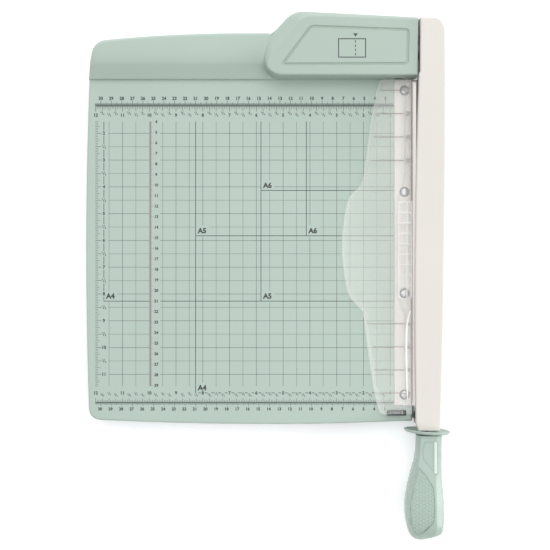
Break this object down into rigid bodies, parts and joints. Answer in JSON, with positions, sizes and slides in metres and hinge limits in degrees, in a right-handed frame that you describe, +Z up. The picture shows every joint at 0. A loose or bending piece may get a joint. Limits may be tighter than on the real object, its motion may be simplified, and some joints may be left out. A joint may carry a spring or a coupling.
{
  "type": "guillotine paper trimmer",
  "caption": "Lever-arm paper trimmer: gridded base with fence and rulers, steel edge under a clear finger guard, and a swing-up blade arm with handle.",
  "frame": {"origin": "under the middle of the object's own box, on the table that the six rubber feet rest on", "axes": "+X to the blade arm's side, +Y from the handle to the paper fence and the pivot, +Z up; the cut runs along Y at x = 0.1415 m"},
  "size_m": [0.3458, 0.4978, 0.048],
  "materials": {
    "mint_plastic": "fine satin moulded plastic, pale mint green",
    "mint_grip": "soft textured grip, pale mint green",
    "cream_plastic": "smooth satin cream",
    "underside_plastic": "plain moulded grey-green",
    "rubber": "matt dark rubber",
    "clear_plastic": "polished clear plastic",
    "blade_steel": "ground and brushed along its length",
    "plated_steel": "bright zinc plate",
    "dark_steel": "dark satin",
    "bronze": "sintered bronze"
  },
  "bodies": {
    "base": {"base_shell": "mint_plastic", "base_bottom_cover": "underside_plastic", "foot_1": "rubber", "foot_2": "rubber", "foot_3": "rubber", "foot_4": "rubber", "foot_5": "rubber", "foot_6": "rubber", "bottom_screw_1": "plated_steel", "bottom_screw_2": "plated_steel", "bottom_screw_3": "plated_steel", "bottom_screw_4": "plated_steel", "bottom_screw_5": "plated_steel", "bottom_screw_6": "plated_steel", "housing_screw_1": "plated_steel", "housing_screw_2": "plated_steel", "bracket_screw_1": "plated_steel", "bracket_screw_2": "plated_steel", "fixed_blade": "blade_steel", "fixed_blade_screw_1": "plated_steel", "fixed_blade_screw_2": "plated_steel", "fixed_blade_screw_3": "plated_steel", "fixed_blade_screw_4": "plated_steel", "finger_guard": "clear_plastic", "guard_rear_screw": "plated_steel", "guard_clip": "dark_steel", "guard_clip_screw_1": "plated_steel", "guard_clip_screw_2": "plated_steel", "pivot_housing": "mint_plastic", "pivot_bracket": "plated_steel", "pivot_bush": "bronze"},
    "arm": {"arm_cover": "cream_plastic", "arm_bar": "plated_steel", "moving_blade": "blade_steel", "moving_blade_screw_1": "plated_steel", "moving_blade_screw_2": "plated_steel", "moving_blade_screw_3": "plated_steel", "moving_blade_screw_4": "plated_steel", "pivot_bolt": "plated_steel", "thrust_washer": "plated_steel", "pivot_spring": "plated_steel", "spring_washer": "plated_steel", "pivot_nut": "plated_steel", "hand_guard": "mint_plastic", "handle_upper_shell": "mint_plastic", "handle_lower_shell": "mint_plastic", "grip_pad_upper": "mint_grip", "grip_pad_lower": "mint_grip", "handle_screw_1": "plated_steel", "handle_screw_2": "plated_steel"}
  },
  "joints": [
    {"name": "arm_hinge", "type": "hinge", "parent": "base", "child": "arm", "pos_m": [0.1415, 0.2123, 0.0325], "axis": [-1, 0, 0], "range_deg": [0, 75]}
  ]
}
